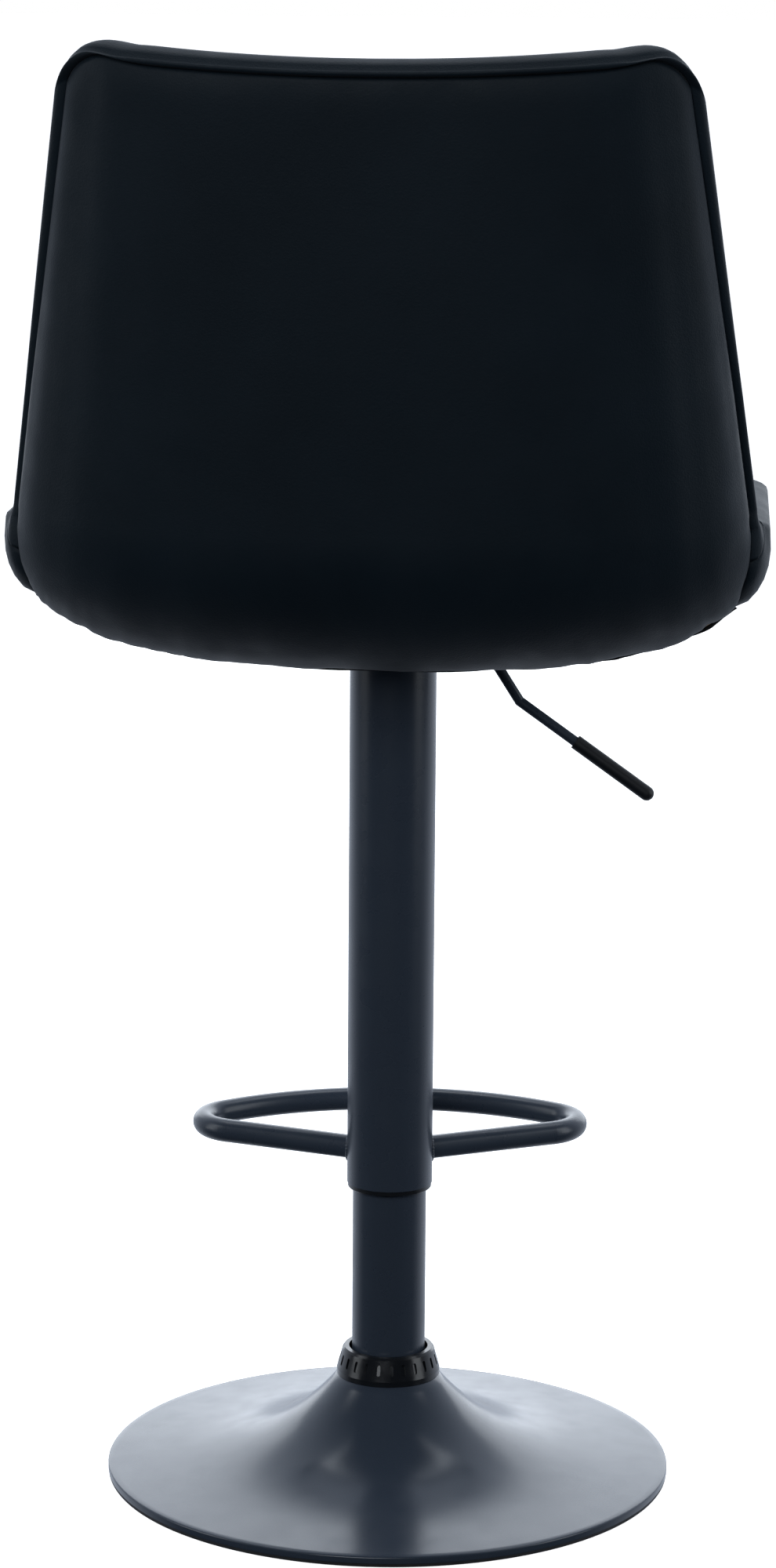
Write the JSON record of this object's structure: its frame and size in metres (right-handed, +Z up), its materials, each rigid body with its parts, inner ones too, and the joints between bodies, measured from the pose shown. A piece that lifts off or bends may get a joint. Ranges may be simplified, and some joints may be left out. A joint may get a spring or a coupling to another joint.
{
  "type": "bar stool with footrest",
  "caption": "Height-adjustable bucket-seat bar stool on a trumpet base, with a loop footrest and a lift lever.",
  "frame": {"origin": "centre of the base's floor ring, on the floor, on the column axis", "axes": "+Z up along the column, +Y towards the front of the seat, +X towards the height lever"},
  "size_m": [0.493, 0.4318, 0.9758],
  "materials": {
    "floor_rubber": "matte",
    "powder_coat": "satin",
    "ballast_steel": "matte",
    "plain_steel": "satin",
    "black_plastic": "satin",
    "collar_plastic": "gloss",
    "acetal": "satin",
    "bearing_steel": "polished",
    "brass": "satin",
    "black_rubber": "matte",
    "zinc_steel": "satin",
    "plywood": "matte",
    "cover_leather": "satin",
    "seat_leather": "satin"
  },
  "bodies": {
    "base": {"floor_ring": "floor_rubber", "base_shell": "powder_coat", "base_ballast": "ballast_steel", "base_hub": "plain_steel", "base_collar": "collar_plastic", "stand_tube": "powder_coat", "tube_end_disc": "plain_steel", "lower_bearing_washer": "bearing_steel", "guide_bush": "acetal"},
    "bearing_cage": {"ball_cage": "brass", "bearing_balls": "bearing_steel"},
    "rotor": {"upper_bearing_washer": "bearing_steel", "piston_rod": "bearing_steel", "rod_clip": "plain_steel", "rubber_bumper": "black_rubber", "piston": "plain_steel", "piston_seal": "black_rubber"},
    "seat": {"gas_cylinder": "powder_coat", "cylinder_gland": "black_plastic", "valve_body": "brass", "outer_sleeve": "powder_coat", "sleeve_guide_ring": "black_plastic", "sleeve_cap": "black_plastic", "footrest": "powder_coat", "head_hub": "plain_steel", "seat_plate": "powder_coat", "pivot_pin": "zinc_steel", "seat_bolts": "plain_steel", "bolt_washers": "zinc_steel", "tee_nuts": "zinc_steel", "seat_shell": "plywood", "outer_cover": "cover_leather", "seat_pad": "seat_leather", "back_pad": "seat_leather"},
    "lever": {"lever_rocker": "plain_steel", "lever_rod": "powder_coat", "lever_grip": "black_plastic"},
    "valve": {"valve_pin": "bearing_steel"}
  },
  "joints": [
    {"name": "seat_swivel", "type": "hinge", "parent": "base", "child": "rotor", "pos_m": [0, 0, 0], "axis": [0, 0, 1], "continuous": true},
    {"name": "cage_spin", "type": "hinge", "parent": "base", "child": "bearing_cage", "pos_m": [0, 0, 0], "axis": [0, 0, 1], "continuous": true},
    {"name": "seat_height", "type": "slide", "parent": "rotor", "child": "seat", "axis": [0, 0, 1], "range_m": [-0.1, 0.11]},
    {"name": "lever_lift", "type": "hinge", "parent": "seat", "child": "lever", "pos_m": [0.028, 0, 0.5795], "axis": [0, -1, 0], "range_deg": [0, 7], "stiffness_Nm_per_rad": 3, "springref_deg": -3.44},
    {"name": "valve_press", "type": "slide", "parent": "seat", "child": "valve", "axis": [0, 0, -1], "range_m": [0, 0.0036]}
  ],
  "couplings": [
    {"joint": "cage_spin", "follows": "seat_swivel", "ratio": 0.5},
    {"joint": "valve_press", "follows": "lever_lift", "m_per_rad": 0.028}
  ]
}
